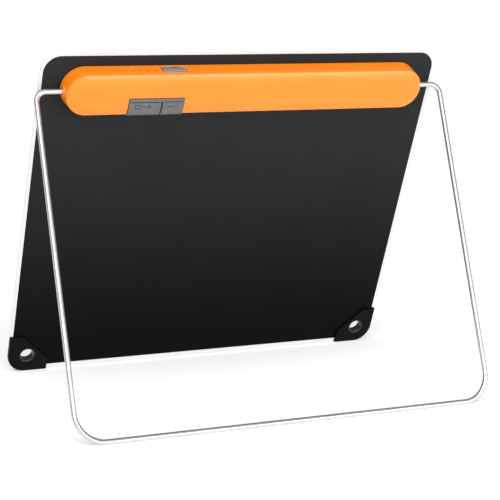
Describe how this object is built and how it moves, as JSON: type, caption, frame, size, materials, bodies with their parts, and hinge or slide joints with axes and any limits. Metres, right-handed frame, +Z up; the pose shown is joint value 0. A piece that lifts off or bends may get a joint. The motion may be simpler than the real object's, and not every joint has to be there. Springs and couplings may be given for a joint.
{
  "type": "portable solar panel",
  "caption": "Portable solar charging panel leaning on a folding wire stand, with a battery pod across its back, covered charging ports and corner eyelets.",
  "frame": {"origin": "on the ground, in the middle of the object's bounding box, in its standing pose", "axes": "+X to the right along the panel's long side as seen from behind, -Y on the side of the pod and the stand, +Z up"},
  "size_m": [0.2562, 0.1482, 0.1979],
  "materials": {
    "black_plate": "satin black, faint moulded grain",
    "white_frame": "satin white",
    "clear_sheet": "clear, finely textured",
    "solar_cell": "dark blue-black cell with fine silver lines",
    "black_rubber": "matt black rubber",
    "orange_plastic": "satin orange, softly glossy",
    "foam": "closed-cell foam",
    "screw_steel": "plain steel",
    "grey_rubber": "matt mid-grey rubber",
    "grey_plastic": "matt mid-grey",
    "board_green": "green solder mask",
    "plated_steel": "nickel plated",
    "black_insulator": "black moulding",
    "led_lens": "cloudy lens",
    "light_guide_clear": "cloudy clear plastic",
    "battery_foil": "grey laminated foil pouch",
    "red_lead": "insulated lead",
    "black_lead": "insulated lead",
    "natural_nylon": "natural nylon",
    "stand_wire": "satin plated round steel wire"
  },
  "bodies": {
    "panel": {"back_plate": "black_plate", "panel_frame": "white_frame", "front_sheet": "clear_sheet", "solar_cell_1": "solar_cell", "solar_cell_2": "solar_cell", "solar_cell_3": "solar_cell", "solar_cell_4": "solar_cell", "solar_cell_5": "solar_cell", "solar_cell_6": "solar_cell", "solar_cell_7": "solar_cell", "solar_cell_8": "solar_cell", "solar_cell_9": "solar_cell", "solar_cell_10": "solar_cell", "solar_cell_11": "solar_cell", "solar_cell_12": "solar_cell", "left_bumper": "black_rubber", "right_bumper": "black_rubber", "pod_cover": "orange_plastic", "pod_seal": "foam", "pod_screw_1": "screw_steel", "pod_screw_2": "screw_steel", "pod_screw_3": "screw_steel", "pod_screw_4": "screw_steel", "pod_screw_5": "screw_steel", "pod_screw_6": "screw_steel", "port_cover_strip": "grey_rubber", "circuit_board": "board_green", "usb_out_shell": "plated_steel", "usb_out_tongue": "black_insulator", "usb_in_shell": "plated_steel", "usb_in_tongue": "black_insulator", "button_switch": "black_insulator", "charge_led_1": "led_lens", "charge_led_2": "led_lens", "charge_led_3": "led_lens", "charge_led_4": "led_lens", "light_guide": "light_guide_clear", "charge_controller": "black_insulator", "boost_inductor": "black_insulator", "output_capacitor": "plated_steel", "battery_pack": "battery_foil", "battery_pad": "foam", "panel_lead_positive": "red_lead", "panel_lead_negative": "black_lead", "battery_lead_positive": "red_lead", "battery_lead_negative": "black_lead", "left_pivot_bush": "natural_nylon", "right_pivot_bush": "natural_nylon", "left_friction_clip": "plated_steel", "right_friction_clip": "plated_steel"},
    "stand": {"kickstand_wire": "stand_wire", "left_stand_collar": "screw_steel", "right_stand_collar": "screw_steel"},
    "power_button": {"power_button": "grey_plastic"},
    "usb_out_flap": {"usb_out_flap": "grey_rubber"},
    "usb_in_flap": {"usb_in_flap": "grey_rubber"}
  },
  "joints": [
    {"name": "kickstand_turn", "type": "hinge", "parent": "panel", "child": "stand", "pos_m": [0, 0.00461, 0.17727], "axis": [1, 0, 0], "continuous": true},
    {"name": "power_press", "type": "slide", "parent": "panel", "child": "power_button", "axis": [0, 0.3289, -0.9444], "range_m": [0, 0.0006], "stiffness_N_per_m": 600},
    {"name": "usb_out_flap_lift", "type": "hinge", "parent": "panel", "child": "usb_out_flap", "pos_m": [-0.06485, -0.00216, 0.17088], "axis": [-1, 0, 0], "range_deg": [0, 100], "stiffness_Nm_per_rad": 0.004, "springref_deg": -11.46},
    {"name": "usb_in_flap_lift", "type": "hinge", "parent": "panel", "child": "usb_in_flap", "pos_m": [-0.04845, -0.00216, 0.17088], "axis": [-1, 0, 0], "range_deg": [0, 100], "stiffness_Nm_per_rad": 0.004, "springref_deg": -11.46}
  ]
}
